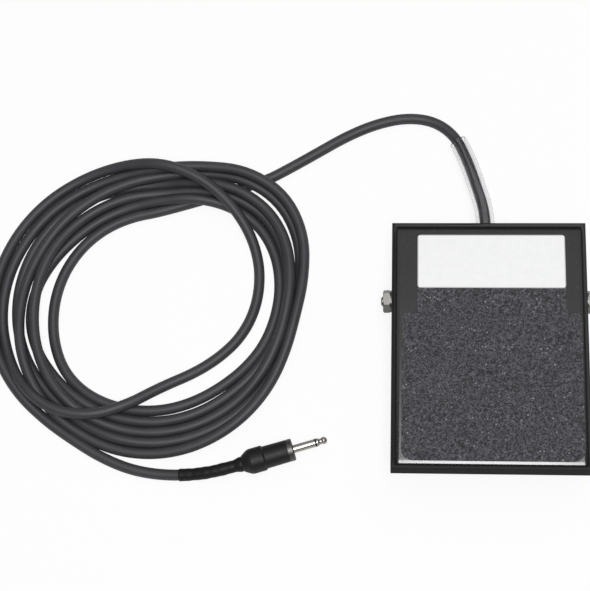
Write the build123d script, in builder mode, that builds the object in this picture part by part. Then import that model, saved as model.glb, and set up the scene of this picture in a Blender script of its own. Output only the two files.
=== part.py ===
import math
import os

from build123d import *

# A low-voltage foot switch: a folded steel tread hinged over a folded steel pan, a snap switch between
# them, and a thin cord that lies in a loose coil and ends in a 3.5 mm plug. Millimetres, +Z up, the cord
# leaves toward +Y, the toe end is toward -Y, the feet stand on z = 0.

# Sheet metal
sheet = 1.5
bend_out = 2.5

# Tread
tread_w = 82.5
tread_l = 108.0
skirt_h = 9.0
tread_over_pivot = 8.5
tread_behind_pivot = 33.0
rest_tilt = 2.6
press_angle = 3.7
ear_r = 6.0
ear_spread = 13.0
ear_shoulder = 0.5

# Pan
pivot_over_floor = 13.0
pan_gap_side = 1.0
pan_w = tread_w - 2 * sheet - 2 * pan_gap_side
pan_gap_front = 2.2
pan_gap_rear = 2.5
stop_gap = 0.3
foot_h = 2.5
relief_slit = 0.8
hole_gap = 0.1

# Pivot: stud, nuts, washers, bushes
stud_d = 4.17
stud_hole_d = 4.3
stud_proud = 0.85
stud_chamfer = 0.5
nut_flats = 8.73
nut_t = 3.2
nut_bevel = 0.55
nut_corner_play = 0.05
washer_t = 0.5
washer_d = 9.4
bush_running = 0.05
bush_wall = 1.2
bush_seat = 0.05
bush_flange_t = 0.8
bush_flange_d = 10.0
bush_lip_t = 0.9
bush_lip_out = 0.5
bush_lip_in = 0.2

# Feet
foot_d = 11.0
foot_stem_d = 5.0
foot_bulb_d = 6.6
foot_bulb_h = 1.6
foot_bulb_taper = 0.6
foot_draft = 0.8
foot_edge_r = 0.5
foot_inset_x = 9.0
foot_inset_y = 9.0

# Pad and label on the tread
pad_t = 1.0
pad_w = 75.0
pad_front_inset = 3.7
pad_rear_y = 2.7
pad_step_y = -8.4
pad_corner_r = 5.0
pad_step_r = 2.5
pad_shift = 0.65
label_w = 62.4
label_l = 23.8
label_t = 0.5
label_r = 1.4
label_gap = 0.2
label_shift = 0.9

# Cord exit
cord_d = 4.8
cord_z = 11.2
relief_hole_d = 11.4
relief_seat = 0.1
relief_flange_d = 12.8
relief_flange_t = 1.9
relief_flange_bevel = 0.6
relief_snout_d = 9.4
relief_snout_t = 1.5
relief_lip_d = 12.4
relief_lip_t = 1.9
relief_lip_face = 0.4
cord_running = 0.05
sleeve_d = 8.0
sleeve_wall = 0.8
sleeve_grip = 3.0
sleeve_seat = 0.1
jacket_end_y = 38.0

# Snap switch
case_x = 10.3
case_y = 27.8
case_z = 15.9
case_cover_t = 1.6
case_corner_r = 1.0
case_front_of_plunger = 17.9
plunger_y = -4.0
plunger_d = 3.2
plunger_up = 2.0
plunger_down = 1.2
plunger_well = 3.2
plunger_round = 0.9
plunger_gap = 0.2
lug_t = 0.6
lug_w = 3.2
lug_l = 3.6
lug_into_case = 1.0
lug_eye_d = 1.3
lug_eye_up = 1.4
lug_corner_r = 1.0
lug_from_front = (4.5, 13.4, 24.2)
hole_pitch_y = 22.2
hole_pitch_z = 10.3
hole_inset_z = 2.8
screw_d = 3.0
screw_hole_d = 3.2
screw_head_d = 5.6
screw_head_t = 1.9
screw_slot_w = 0.8
screw_slot_deep = 0.9
screw_tail = 1.0
small_nut_flats = 5.5
small_nut_t = 2.4
bracket_t = 1.2
bracket_foot = 15.0
bracket_bend = 1.8
bracket_top_gap = 0.4
rivet_d = 3.2
rivet_head_d = 5.8
rivet_head_t = 1.1
rivet_pitch = 15.0
rivet_from_bend = 9.0
rivet_tail_t = 0.7
rivet_tail_d = 5.0
rivet_tail_draft = 0.3
paper_t = 0.4
paper_x = 12.5
paper_y = 33.0
paper_r = 1.5
paper_gap = 0.4
wire_d = 1.6
wire_apart = 1.0
wire_run = 7.0
wire_swing = 3.7
wire_turn_in = 3.0
common_eye_x = 0.3
open_eye_x = -0.6

# Return spring
spring_d = 9.6
spring_wire = 1.2
spring_wire_flats = 16
spring_from_front = 9.4
spring_turns = 6
spring_seat_gap = 0.1
post_d = 6.6
post_h = 4.0
post_flange_d = 11.0
post_flange_t = 0.8
post_tail_d = 3.0
post_tail_head_d = 5.0
post_tail_head_t = 0.7
post_bevel = 1.0
cap_d = 5.8
cap_h = 3.0
cap_edge_r = 0.8

# Plug, 3.5 mm, two poles
plug_at = (-104.9, -48.5)
plug_heading = 17.0
grip_r = 5.5
grip_back_r = 3.6
grip_front_r = 4.9
grip_l = 20.5
grip_step_l = 9.5
grip_taper_l = 3.0
grip_edge = 0.5
grip_crown_l = 1.2
grip_crown_h = 0.3
grip_step_run = 0.7
grip_draft = 0.1
cord_into_plug = 5.0
cord_end_gap = 0.1
collar_r = 4.85
collar_l = 2.4
collar_edge = 0.4
barrel_r = 1.75
barrel_l = 9.6
plug_ring_l = 0.7
plug_tip_l = 4.7
plug_shoulder_l = 0.5
plug_neck_at = 1.5
plug_neck_l = 0.6
plug_neck_r = 1.25
plug_core_r = 1.0
tip_round_r = 1.65
shrink_wall = 0.25
shrink_straight = 9.5

# Cord route where it is not coiled, chosen along the photo's line, and the coil's turns as distances from
# its centre, eight to a turn: north, north-west, west and so on round to north-east
cord_r = cord_d / 2
LEAD = [
    (0.0, jacket_end_y, cord_z),
    (0.0, 60.0, cord_z),
    (-3.2, 76.5, 8.6),
    (-8.2, 91.0, 5.0),
    (-14.6, 102.4, 3.2),
    (-24.2, 109.9, cord_r),
    (-36.0, 112.2, cord_r),
    (-49.0, 108.2, cord_r),
    (-62.5, 101.8, cord_r),
    (-76.0, 93.6, cord_r),
    (-89.0, 85.9, cord_r),
    (-100.0, 79.9, cord_r),
]
TAIL = [
    (-178.5, -38.9, cord_r),
    (-166.5, -46.0, cord_r),
    (-153.0, -51.3, cord_r),
    (-139.0, -53.3, cord_r),
    (-125.5, -53.0, 3.4),
]
COIL_CENTRE = (-145.0, 16.5)
COIL_TURNS = [
    (50.0, 48.5, 47.0, 47.0, 41.5, 43.0, 54.0, 62.0),
    (54.5, 54.0, 54.5, 50.0, 46.7, 48.5, 56.5, 66.5),
    (58.5, 58.5, 57.0, 54.0, 51.5, 52.5, 59.0, 69.0),
    (62.0, 63.0, 61.5, 58.0, 57.0, 56.0, 58.0, 76.0),
    (66.0, 67.0, 63.0, 62.0, 63.3, 59.5, 61.0, 79.0),
    (68.5, 71.5, 70.5, 61.0, 33.2, 31.0, 42.0, 56.5),
    (70.3, 77.0, 74.5, 66.0),
]
coil_h = 16.0
coil_edge = 2.0
arc_share = 0.45

tilt = math.radians(rest_tilt)
pressed_tilt = math.radians(rest_tilt - press_angle)


# Heights over the floor follow the sheet's thickness, so the hollow between pan and tread keeps its size
pan_floor = foot_h + sheet
pivot_z = pan_floor + pivot_over_floor
tread_rise = tread_over_pivot + sheet

# The pivot stands where the tread's front and rear reach equally far from the middle
tread_before_pivot = tread_l - tread_behind_pivot
front_reach = tread_before_pivot * math.cos(tilt) - (tread_rise - skirt_h) * math.sin(tilt)
rear_reach = (
    (tread_behind_pivot - bend_out) * math.cos(tilt) + (tread_rise - bend_out) * math.sin(tilt) + bend_out
)
pivot_y = (front_reach - rear_reach) / 2

# The tread's own plane lies in the pivot and tips with it; its x and y are the tread's width and length
tread_plane = Plane(
    origin=(0, pivot_y, pivot_z), x_dir=(1, 0, 0), z_dir=(0, math.sin(tilt), math.cos(tilt))
)
side_plane = Plane(origin=(0, 0, 0), x_dir=(0, 1, 0), z_dir=(1, 0, 0))
tread_side_plane = Plane(
    origin=(0, pivot_y, pivot_z), x_dir=(0, math.cos(tilt), -math.sin(tilt)), z_dir=(1, 0, 0)
)
tread_mid_y = (tread_behind_pivot - tread_before_pivot) / 2


def under_tread(y, lean=tilt):
    """Height of the tread's underside over a point y of the pan, at a lean of the tread."""
    return pivot_z + (tread_rise - sheet) / math.cos(lean) - (y - pivot_y) * math.tan(lean)


pan_front = pivot_y - front_reach + sheet + pan_gap_front
pan_rear = pivot_y + rear_reach - sheet - pan_gap_rear
pan_mid = (pan_front + pan_rear) / 2
spring_y = pan_front + spring_from_front
pan_l = pan_rear - pan_front
pan_top = min(under_tread(pan_rear), under_tread(pan_front, pressed_tilt)) - stop_gap

os.makedirs("parts", exist_ok=True)


def finish(work, name):
    """Name a finished piece and write it."""
    work.part.label = name
    export_step(work.part, f"parts/{name}.step")


# Base pan: a folded box with slit corners, holes for the bushes, feet, rivets, post and cord
foot_x = pan_w / 2 - foot_inset_x
foot_y = pan_l / 2 - foot_inset_y
bush_body_d = stud_d + 2 * bush_running + 2 * bush_wall
bracket_x = case_x / 2
rivet_x = bracket_x + rivet_from_bend
case_front = plunger_y - case_front_of_plunger
case_mid_y = case_front + case_y / 2
rivet_spots = [(rivet_x, case_mid_y - rivet_pitch / 2), (rivet_x, case_mid_y + rivet_pitch / 2)]

with BuildPart() as base_pan:
    with BuildSketch(Plane.XY.offset(foot_h)):
        with Locations((0, pan_mid)):
            Rectangle(pan_w, pan_l)
    extrude(amount=pan_top - foot_h)
    fillet(base_pan.edges().group_by(Axis.Z)[0], bend_out)
    offset(amount=-sheet, openings=base_pan.faces().sort_by(Axis.Z)[-1])
    with BuildSketch(Plane.XY.offset(pan_floor + bend_out)):
        for way_x, way_y in ((-1, -1), (-1, 1), (1, -1), (1, 1)):
            with Locations((way_x * (pan_w - sheet) / 2, pan_mid + way_y * (pan_l - sheet) / 2)):
                Rectangle(3 * sheet, relief_slit, rotation=45 * way_x * way_y)
    extrude(amount=pan_top, mode=Mode.SUBTRACT)
    with BuildSketch(side_plane.offset(-pan_w)):
        with Locations((pivot_y, pivot_z)):
            Circle(bush_body_d / 2 + bush_seat)
    extrude(amount=2 * pan_w, mode=Mode.SUBTRACT)
    with BuildSketch(Plane.XY):
        with Locations((0, pan_mid)):
            with GridLocations(2 * foot_x, 2 * foot_y, 2, 2):
                Circle(foot_stem_d / 2 + hole_gap)
        with Locations((0, spring_y)):
            Circle(post_tail_d / 2 + hole_gap)
        with Locations(*rivet_spots):
            Circle(rivet_d / 2 + hole_gap)
    extrude(amount=pan_floor + sheet, mode=Mode.SUBTRACT)
    with BuildSketch(Plane.XZ.offset(-pan_rear - sheet)):
        with Locations((0, cord_z)):
            Circle(relief_hole_d / 2)
    extrude(amount=3 * sheet, mode=Mode.SUBTRACT)
finish(base_pan, "base_pan")


# Rubber feet: a conical pad, a stem through the pan and a bulb that snaps above it
for name, fx, fy in (
    ("foot_front_left", -foot_x, pan_mid - foot_y),
    ("foot_front_right", foot_x, pan_mid - foot_y),
    ("foot_rear_left", -foot_x, pan_mid + foot_y),
    ("foot_rear_right", foot_x, pan_mid + foot_y),
):
    with BuildPart() as foot:
        with BuildSketch(Plane.XZ.offset(-fy)):
            with BuildLine():
                Polyline(
                    (fx, 0),
                    (fx + foot_d / 2 - foot_draft, 0),
                    (fx + foot_d / 2, foot_h),
                    (fx + foot_stem_d / 2, foot_h),
                    (fx + foot_stem_d / 2, pan_floor),
                    (fx + foot_bulb_d / 2, pan_floor),
                    (fx + foot_stem_d / 2 - foot_bulb_taper, pan_floor + foot_bulb_h),
                    (fx, pan_floor + foot_bulb_h),
                    close=True,
                )
            make_face()
        revolve(axis=Axis((fx, fy, 0), (0, 0, 1)))
        fillet(foot.edges().group_by(Axis.Z)[0], foot_edge_r)
    finish(foot, name)


# Tread: a folded tray turned upside down, its side skirts drawn down into a rounded ear at the pivot
with BuildPart() as tread_cover:
    with BuildSketch(tread_plane.offset(tread_rise - skirt_h)):
        with Locations((0, tread_mid_y)):
            Rectangle(tread_w, tread_l)
    extrude(amount=skirt_h)
    fillet(tread_cover.faces().sort_by(Axis.Z)[-1].edges(), bend_out)
    offset(amount=-sheet, openings=tread_cover.faces().sort_by(Axis.Z)[0])
    for side in (-1, 1):
        with BuildSketch(tread_side_plane.offset(side * (tread_w - sheet) / 2 - sheet / 2)):
            with BuildLine():
                skirt_edge = tread_rise - skirt_h
                Line((-ear_spread, skirt_edge), (-ear_r, -ear_shoulder))
                ThreePointArc((-ear_r, -ear_shoulder), (0, -ear_r), (ear_r, -ear_shoulder))
                Polyline(
                    (ear_r, -ear_shoulder),
                    (ear_spread, skirt_edge),
                    (ear_spread, skirt_edge + sheet),
                    (-ear_spread, skirt_edge + sheet),
                    (-ear_spread, skirt_edge),
                )
            make_face()
        extrude(amount=sheet)
    with BuildSketch(tread_side_plane.offset(-tread_w)):
        Circle(stud_hole_d / 2)
    extrude(amount=2 * tread_w, mode=Mode.SUBTRACT)
finish(tread_cover, "tread_cover")


# Pad and label: the pad is as wide as the tread's flat up to a step, then as narrow as the label
pad_front_y = -tread_before_pivot + pad_front_inset
label_rear_y = pad_rear_y + label_gap + label_l
with BuildPart() as tread_pad:
    with BuildSketch(tread_plane.offset(tread_rise).move(Location((pad_shift, 0, 0)))) as pad_outline:
        with BuildLine():
            Polyline(
                (-pad_w / 2, pad_front_y),
                (pad_w / 2, pad_front_y),
                (pad_w / 2, pad_step_y),
                (label_w / 2, pad_step_y),
                (label_w / 2, pad_rear_y),
                (-label_w / 2, pad_rear_y),
                (-label_w / 2, pad_step_y),
                (-pad_w / 2, pad_step_y),
                close=True,
            )
        make_face()
        by_front = pad_outline.vertices().group_by(Axis.Y)
        fillet(by_front[0], pad_corner_r)
        fillet(pad_outline.vertices().group_by(Axis.Y)[2], pad_step_r)
    extrude(amount=pad_t)
finish(tread_pad, "tread_pad")

with BuildPart() as label_plate:
    with BuildSketch(tread_plane.offset(tread_rise)):
        with Locations((label_shift, label_rear_y - label_l / 2)):
            RectangleRounded(label_w, label_l, label_r)
    extrude(amount=label_t)
finish(label_plate, "label_plate")


# Pivot: the stud and its nuts turn with the tread, the bushes stay in the pan
nut_in = tread_w / 2 + washer_t
stud_half = nut_in + nut_t + stud_proud
with BuildPart() as pivot_stud:
    with BuildSketch(side_plane.offset(-stud_half)):
        with Locations((pivot_y, pivot_z)):
            Circle(stud_d / 2)
    extrude(amount=2 * stud_half)
    chamfer(pivot_stud.edges().filter_by(GeomType.CIRCLE), stud_chamfer)
finish(pivot_stud, "pivot_stud")

with BuildPart() as pivot_nuts:
    for side in (-1, 1):
        with BuildSketch(side_plane.offset(side * (nut_in + nut_t / 2) - nut_t / 2)):
            with Locations((pivot_y, pivot_z)):
                RegularPolygon(nut_flats / 2, 6, major_radius=False)
                Circle(stud_d / 2 + bush_running, mode=Mode.SUBTRACT)
        extrude(amount=nut_t)
    with BuildSketch(Plane.XY.offset(pivot_z)):
        corner = nut_flats / 2 / math.cos(math.radians(30)) + nut_corner_play
        for side in (-1, 1):
            with BuildLine():
                Polyline(
                    (side * nut_in, pivot_y),
                    (side * nut_in, pivot_y + nut_flats / 2),
                    (side * (nut_in + nut_bevel), pivot_y + corner),
                    (side * (nut_in + nut_t - nut_bevel), pivot_y + corner),
                    (side * (nut_in + nut_t), pivot_y + nut_flats / 2),
                    (side * (nut_in + nut_t), pivot_y),
                    close=True,
                )
            make_face()
    revolve(axis=Axis((0, pivot_y, pivot_z), (1, 0, 0)), mode=Mode.INTERSECT)
finish(pivot_nuts, "pivot_nuts")

with BuildPart() as stud_washers:
    for side in (-1, 1):
        with BuildSketch(side_plane.offset(side * (tread_w / 2 + washer_t / 2) - washer_t / 2)):
            with Locations((pivot_y, pivot_z)):
                Circle(washer_d / 2)
                Circle(stud_hole_d / 2, mode=Mode.SUBTRACT)
        extrude(amount=washer_t)
finish(stud_washers, "stud_washers")

for name, side in (("pivot_bush_left", -1), ("pivot_bush_right", 1)):
    wall_out = side * pan_w / 2
    wall_in = side * (pan_w / 2 - sheet)
    bore_r = stud_d / 2 + bush_running
    with BuildPart() as bush:
        with BuildSketch(Plane.XY.offset(pivot_z)):
            with BuildLine():
                Polyline(
                    (wall_out + side * bush_flange_t, pivot_y + bore_r),
                    (wall_out + side * bush_flange_t, pivot_y + bush_flange_d / 2),
                    (wall_out, pivot_y + bush_flange_d / 2),
                    (wall_out, pivot_y + bush_body_d / 2),
                    (wall_in, pivot_y + bush_body_d / 2),
                    (wall_in, pivot_y + bush_body_d / 2 + bush_lip_out),
                    (wall_in - side * bush_lip_t, pivot_y + bush_body_d / 2 - bush_lip_in),
                    (wall_in - side * bush_lip_t, pivot_y + bore_r),
                    close=True,
                )
            make_face()
        revolve(axis=Axis((0, pivot_y, pivot_z), (1, 0, 0)))
    finish(bush, name)


# Return spring between a post on the pan and a cap under the tread
post_seat = pan_floor + post_flange_t
with BuildPart() as spring_post:
    with BuildSketch(Plane.XZ.offset(-spring_y)):
        with BuildLine():
            Polyline(
                (0, foot_h - post_tail_head_t),
                (post_tail_head_d / 2, foot_h - post_tail_head_t),
                (post_tail_head_d / 2, foot_h),
                (post_tail_d / 2, foot_h),
                (post_tail_d / 2, pan_floor),
                (post_flange_d / 2, pan_floor),
                (post_flange_d / 2, post_seat),
                (post_d / 2, post_seat),
                (post_d / 2, post_seat + post_h - post_bevel),
                (post_d / 2 - post_bevel, post_seat + post_h),
                (0, post_seat + post_h),
                close=True,
            )
        make_face()
    revolve(axis=Axis((0, spring_y, 0), (0, 0, 1)))
finish(spring_post, "spring_post")

cap_y = (spring_y - pivot_y) * math.cos(tilt) - (under_tread(spring_y) - pivot_z) * math.sin(tilt)
cap_plane = tread_plane.offset(tread_rise - sheet)
with BuildPart() as spring_cap:
    with BuildSketch(cap_plane):
        with Locations((0, cap_y)):
            Circle(post_flange_d / 2)
    extrude(amount=-post_flange_t)
    with BuildSketch(cap_plane):
        with Locations((0, cap_y)):
            Circle(cap_d / 2)
    extrude(amount=-post_flange_t - cap_h)
    fillet(spring_cap.edges().group_by(Axis.Z)[0], cap_edge_r)
finish(spring_cap, "spring_cap")

spring_foot = post_seat + spring_seat_gap
spring_slack = spring_d / 2 * math.tan(tilt)
spring_head = under_tread(spring_y) - post_flange_t - spring_slack - spring_seat_gap
coil_mid_r = (spring_d - spring_wire) / 2
spring_free = spring_head - spring_foot
with BuildPart() as return_spring:
    with BuildLine():
        wire_path = Helix(
            pitch=spring_free / spring_turns,
            height=spring_free,
            radius=coil_mid_r,
            center=(0, spring_y, spring_foot),
        )
    with BuildSketch(Plane(origin=wire_path @ 0, z_dir=wire_path % 0)):
        RegularPolygon(spring_wire / 2, spring_wire_flats)
    sweep(is_frenet=True)
    with BuildSketch(Plane.XY.offset(spring_foot)):
        with Locations((0, spring_y)):
            Circle(spring_d)
    extrude(amount=spring_free, mode=Mode.INTERSECT)
finish(return_spring, "return_spring")


# Snap switch: case and cover are two shells that meet in a plane, the plunger stands out of the top
plunger_top = under_tread(plunger_y) - plunger_gap - plunger_d / 2 * math.tan(tilt)
case_top = plunger_top - plunger_up
case_bottom = case_top - case_z
hole_spots = [
    (case_mid_y - hole_pitch_y / 2, case_bottom + hole_inset_z),
    (case_mid_y + hole_pitch_y / 2, case_bottom + hole_inset_z + hole_pitch_z),
]
lug_spots = [case_front + place for place in lug_from_front]

for name, x0, x1 in (
    ("switch_case", -case_x / 2 + case_cover_t, case_x / 2),
    ("switch_cover", -case_x / 2, -case_x / 2 + case_cover_t),
):
    with BuildPart() as shell:
        with BuildSketch(side_plane.offset(x0)) as outline:
            with Locations((case_mid_y, case_bottom + case_z / 2)):
                RectangleRounded(case_y, case_z, case_corner_r)
            with Locations(*hole_spots):
                Circle(screw_hole_d / 2, mode=Mode.SUBTRACT)
        extrude(amount=x1 - x0)
        if name == "switch_case":
            with BuildSketch(Plane.XY.offset(case_top)):
                with Locations((0, plunger_y)):
                    Circle(plunger_d / 2 + bush_running)
            extrude(amount=-plunger_well, mode=Mode.SUBTRACT)
            with BuildSketch(Plane.XY.offset(case_bottom)):
                for lug_y in lug_spots:
                    with Locations((0, lug_y)):
                        Rectangle(lug_w, lug_t)
            extrude(amount=lug_into_case, mode=Mode.SUBTRACT)
    finish(shell, name)

with BuildPart() as plunger:
    with BuildSketch(Plane.XY.offset(case_top - plunger_down)):
        with Locations((0, plunger_y)):
            Circle(plunger_d / 2)
    extrude(amount=plunger_up + plunger_down)
    fillet(plunger.edges().group_by(Axis.Z)[-1], plunger_round)
finish(plunger, "plunger")

for name, lug_y in zip(("closed_terminal", "open_terminal", "common_terminal"), lug_spots):
    with BuildPart() as lug:
        with BuildSketch(Plane.XZ.offset(-lug_y - lug_t / 2)) as lug_outline:
            with Locations((0, case_bottom + (lug_into_case - lug_l) / 2)):
                Rectangle(lug_w, lug_l + lug_into_case)
            fillet(lug_outline.vertices().group_by(Axis.Y)[0], lug_corner_r)
            with Locations((0, case_bottom - lug_l + lug_eye_up)):
                Circle(lug_eye_d / 2, mode=Mode.SUBTRACT)
        extrude(amount=lug_t)
    finish(lug, name)


# Bracket: an angle with a bent corner, riveted to the pan, the switch screwed to its upright
bracket_top = under_tread(case_front, pressed_tilt) - bracket_top_gap
with BuildPart() as switch_bracket:
    with BuildSketch(Plane.XZ.offset(-case_front)):
        with BuildLine():
            rise = Line((bracket_x, bracket_top), (bracket_x, pan_floor + bracket_bend))
            turn = RadiusArc(
                (bracket_x, pan_floor + bracket_bend), (bracket_x + bracket_bend, pan_floor), -bracket_bend
            )
            Polyline(
                (bracket_x + bracket_bend, pan_floor),
                (bracket_x + bracket_foot, pan_floor),
                (bracket_x + bracket_foot, pan_floor + bracket_t),
                (bracket_x + bracket_bend, pan_floor + bracket_t),
            )
            RadiusArc(
                (bracket_x + bracket_bend, pan_floor + bracket_t),
                (bracket_x + bracket_t, pan_floor + bracket_bend),
                bracket_bend - bracket_t,
            )
            Polyline(
                (bracket_x + bracket_t, pan_floor + bracket_bend),
                (bracket_x + bracket_t, bracket_top),
                (bracket_x, bracket_top),
            )
        make_face()
    extrude(amount=-case_y)
    with BuildSketch(side_plane.offset(bracket_x)):
        with Locations(*hole_spots):
            Circle(screw_hole_d / 2)
    extrude(amount=bracket_t, mode=Mode.SUBTRACT)
    with BuildSketch(Plane.XY.offset(pan_floor)):
        with Locations(*rivet_spots):
            Circle(rivet_d / 2 + hole_gap)
    extrude(amount=bracket_t, mode=Mode.SUBTRACT)
finish(switch_bracket, "switch_bracket")

with BuildPart() as bracket_rivets:
    head_seat = pan_floor + bracket_t
    dome_r = ((rivet_head_d / 2) ** 2 + rivet_head_t**2) / (2 * rivet_head_t)
    for _, rivet_y in rivet_spots:
        with BuildSketch(Plane.XZ.offset(-rivet_y)):
            with BuildLine():
                Polyline(
                    (rivet_x, head_seat + rivet_head_t),
                    (rivet_x, foot_h - rivet_tail_t),
                    (rivet_x + rivet_tail_d / 2 - rivet_tail_draft, foot_h - rivet_tail_t),
                    (rivet_x + rivet_tail_d / 2, foot_h),
                    (rivet_x + rivet_d / 2, foot_h),
                    (rivet_x + rivet_d / 2, head_seat),
                    (rivet_x + rivet_head_d / 2, head_seat),
                )
                RadiusArc(
                    (rivet_x + rivet_head_d / 2, head_seat), (rivet_x, head_seat + rivet_head_t), -dome_r
                )
            make_face()
        revolve(axis=Axis((rivet_x, rivet_y, 0), (0, 0, 1)))
finish(bracket_rivets, "bracket_rivets")

screw_end = bracket_x + bracket_t + small_nut_t + screw_tail
with BuildPart() as switch_screws:
    for spot in hole_spots:
        with BuildSketch(side_plane.offset(-case_x / 2)):
            with Locations(spot):
                Circle(screw_head_d / 2)
        extrude(amount=-screw_head_t)
        with BuildSketch(side_plane.offset(-case_x / 2)):
            with Locations(spot):
                Circle(screw_d / 2)
        extrude(amount=case_x / 2 + screw_end)
        with BuildSketch(side_plane.offset(-case_x / 2 - screw_head_t)):
            with Locations(spot):
                Rectangle(screw_head_d, screw_slot_w)
        extrude(amount=screw_slot_deep, mode=Mode.SUBTRACT)
finish(switch_screws, "switch_screws")

with BuildPart() as switch_nuts:
    for spot in hole_spots:
        with BuildSketch(side_plane.offset(bracket_x + bracket_t)):
            with Locations(spot):
                RegularPolygon(small_nut_flats / 2, 6, major_radius=False)
                Circle(screw_d / 2 + bush_running, mode=Mode.SUBTRACT)
        extrude(amount=small_nut_t)
finish(switch_nuts, "switch_nuts")

with BuildPart() as insulating_sheet:
    with BuildSketch(Plane.XY.offset(pan_floor)):
        with Locations((bracket_x - paper_gap - paper_x / 2, case_mid_y)):
            RectangleRounded(paper_x, paper_y, paper_r)
    extrude(amount=paper_t)
finish(insulating_sheet, "insulating_sheet")


# Strain relief: a turned bushing on the cord's axis, snapped into the rear wall
bore = cord_r + cord_running
wide_bore = sleeve_d / 2 + cord_running
wall_inside = pan_rear - sheet
sleeve_start_y = pan_rear + relief_flange_t + relief_snout_t - sleeve_grip
with BuildPart() as strain_relief:
    with BuildSketch(Plane.YZ):
        with BuildLine():
            Polyline(
                (wall_inside - relief_lip_t, cord_z + bore),
                (wall_inside - relief_lip_t, cord_z + relief_hole_d / 2 - relief_seat),
                (wall_inside - relief_lip_face, cord_z + relief_lip_d / 2),
                (wall_inside, cord_z + relief_lip_d / 2),
                (wall_inside, cord_z + relief_hole_d / 2 - relief_seat),
                (pan_rear, cord_z + relief_hole_d / 2 - relief_seat),
                (pan_rear, cord_z + relief_flange_d / 2),
                (pan_rear + relief_flange_t - relief_flange_bevel, cord_z + relief_flange_d / 2),
                (pan_rear + relief_flange_t, cord_z + relief_snout_d / 2),
                (pan_rear + relief_flange_t + relief_snout_t, cord_z + relief_snout_d / 2),
                (pan_rear + relief_flange_t + relief_snout_t, cord_z + wide_bore),
                (sleeve_start_y - sleeve_seat, cord_z + wide_bore),
                (sleeve_start_y - sleeve_seat, cord_z + bore),
                close=True,
            )
        make_face()
    revolve(axis=Axis((0, 0, cord_z), (0, 1, 0)))
finish(strain_relief, "strain_relief")


# Cord: straight runs joined by tangent arcs, each arc as large as its two runs allow
def turn_radii(points):
    """Radius at each inner point: a share of the shorter run over the tangent of half the turn."""
    spots = [Vector(*p) for p in points]
    radii = []
    for before, here, after in zip(spots, spots[1:], spots[2:]):
        arrive = here - before
        leave = after - here
        half_turn = math.radians(arrive.get_angle(leave)) / 2
        radii.append(arc_share * min(arrive.length, leave.length) / math.tan(half_turn))
    return radii


def between(here, there):
    """The point halfway from one point to the next."""
    return tuple((a + b) / 2 for a, b in zip(here, there))


def along(heading, start, distance, height):
    """A point at a distance from a start, along a heading in the floor plane."""
    turn = math.radians(heading)
    return (start[0] + distance * math.cos(turn), start[1] + distance * math.sin(turn), height)


plug_back = along(plug_heading, plug_at, 0, grip_r)
tail_points = TAIL + [
    along(plug_heading, plug_at, -shrink_straight, grip_r),
    along(plug_heading, plug_at, cord_into_plug, grip_r),
]

for name, points in (("cord_lead", LEAD), ("cord_tail", tail_points)):
    radii = turn_radii(points)
    print(name, "radii", [round(r, 1) for r in radii])
    with BuildPart() as cord:
        with BuildLine():
            route = FilletPolyline(*points, radius=radii)
        with BuildSketch(Plane(origin=route @ 0, z_dir=route % 0)):
            Circle(cord_r)
        sweep()
    expected = math.pi * cord_r**2 * route.length
    print(name, "length", round(route.length, 1), "volume ratio", round(cord.part.volume / expected, 4))
    finish(cord, name)


# Bend sleeve: a soft clear tube over the first stretch of the cord, its root gripped in the bushing
sleeve_points = [(0, sleeve_start_y, cord_z), *LEAD[1:4], between(LEAD[3], LEAD[4])]
with BuildPart() as bend_sleeve:
    with BuildLine():
        sleeve_route = FilletPolyline(*sleeve_points, radius=turn_radii(sleeve_points))
    with BuildSketch(Plane(origin=sleeve_route @ 0, z_dir=sleeve_route % 0)):
        Circle(sleeve_d / 2)
        Circle(sleeve_d / 2 - sleeve_wall, mode=Mode.SUBTRACT)
    sweep()
print("bend_sleeve length", round(sleeve_route.length, 1))
finish(bend_sleeve, "bend_sleeve")


# Coil: the outer shape of the loose turns, a ring whose inner and outer lines follow the turns
def coil_line(radii, grow):
    """Points round the coil's centre, one at each eighth of a turn from north."""
    spots = []
    for step, radius in enumerate(radii):
        angle = math.radians(90 + 45 * step)
        reach = radius + grow
        spots.append(
            (COIL_CENTRE[0] + reach * math.cos(angle), COIL_CENTRE[1] + reach * math.sin(angle))
        )
    return spots


by_direction = [[turn[step] for turn in COIL_TURNS if len(turn) > step] for step in range(8)]
with BuildPart() as cord_coil:
    with BuildSketch():
        with BuildLine():
            Spline(*coil_line([max(r) for r in by_direction], cord_r), periodic=True)
        make_face()
        with BuildLine():
            Spline(*coil_line([min(r) for r in by_direction], -cord_r), periodic=True)
        make_face(mode=Mode.SUBTRACT)
    extrude(amount=coil_h)
    fillet(cord_coil.edges().group_by(Axis.Z)[-1], coil_edge)
finish(cord_coil, "cord_coil")

turn_length = 0.0
stations = [r for turn in COIL_TURNS for r in turn]
for step in range(len(stations) - 1):
    mean_r = (stations[step] + stations[step + 1]) / 2
    turn_length += math.hypot(mean_r * math.pi / 4, stations[step + 1] - stations[step])
print("cord in the coil", round(turn_length), "mm")


# Plug: turned pieces on one axis that lies along the floor at the plug's heading
plug_plane = Plane(
    origin=plug_back,
    x_dir=(math.cos(math.radians(plug_heading)), math.sin(math.radians(plug_heading)), 0),
    z_dir=(math.sin(math.radians(plug_heading)), -math.cos(math.radians(plug_heading)), 0),
)
plug_axis = Axis(plug_back, plug_plane.x_dir)
collar_at = grip_l
barrel_at = collar_at + collar_l
plug_ring_at = barrel_at + barrel_l
plug_tip_at = plug_ring_at + plug_ring_l
tip_end = plug_tip_at + plug_tip_l

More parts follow.
